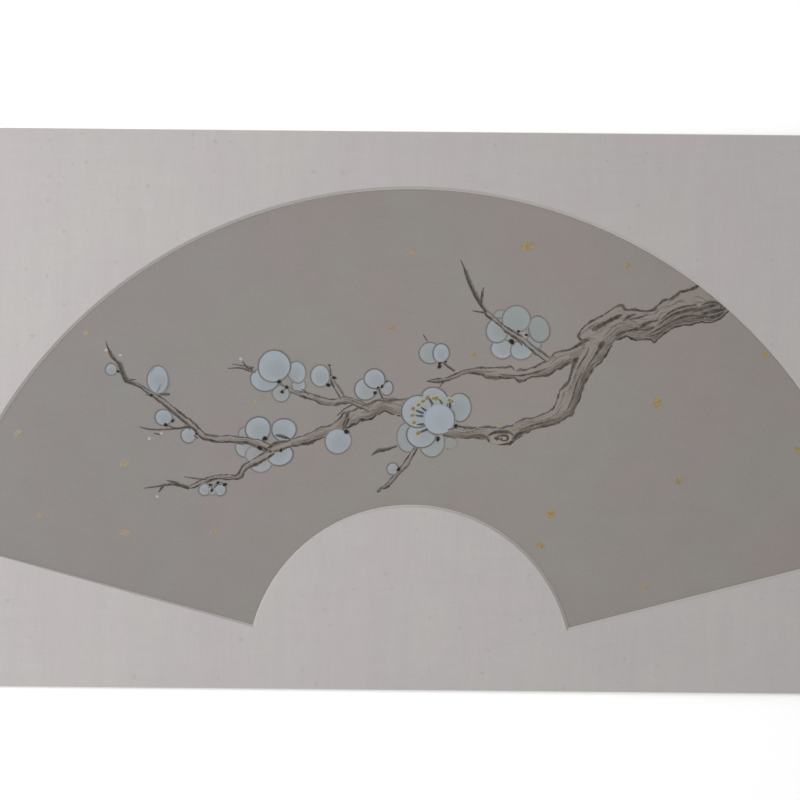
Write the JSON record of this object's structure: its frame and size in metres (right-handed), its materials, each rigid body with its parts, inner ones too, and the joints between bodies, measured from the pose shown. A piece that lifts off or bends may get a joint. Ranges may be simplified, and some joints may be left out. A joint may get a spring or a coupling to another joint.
{
  "type": "mounted fan painting",
  "caption": "Fan-shaped painting on paper, hinged to a backboard under a window board that opens along its top edge.",
  "frame": {"origin": "on the surface the backboard lies on, under the middle of the card", "axes": "+X to the painting's right along the card's long side, +Y to the painting's top, +Z out of its face"},
  "size_m": [0.58, 0.308, 0.0038],
  "materials": {
    "window_paper": "matte",
    "board_core": "matte",
    "board_liner_paper": "matte",
    "leaf_paper": "matte",
    "lining_paper": "matte",
    "hinge_paper": "matte",
    "linen_tape": "matte",
    "gold_foil": "satin",
    "white_pigment": "matte",
    "ink": "matte"
  },
  "bodies": {
    "backboard": {"backboard_back_paper": "board_liner_paper", "backboard_core": "board_core", "backboard_face_paper": "board_liner_paper", "leaf_hinge_strip_far_left": "hinge_paper", "leaf_hinge_cross_far_left": "hinge_paper", "leaf_hinge_strip_near_left": "hinge_paper", "leaf_hinge_cross_near_left": "hinge_paper", "leaf_hinge_strip_near_right": "hinge_paper", "leaf_hinge_cross_near_right": "hinge_paper", "leaf_hinge_strip_far_right": "hinge_paper", "leaf_hinge_cross_far_right": "hinge_paper", "leaf_lining": "lining_paper", "painted_leaf": "leaf_paper", "gold_flecks": "gold_foil", "hinge_tape_lower": "linen_tape"},
    "window_mat": {"window_liner_paper": "board_liner_paper", "window_board_core": "board_core", "window_facing_paper": "window_paper", "hinge_tape_upper": "linen_tape"}
  },
  "joints": [
    {"name": "window_mat_open", "type": "hinge", "parent": "backboard", "child": "window_mat", "pos_m": [0, 0.15415, 0.00195], "axis": [-1, 0, 0], "range_deg": [0, 180]}
  ]
}
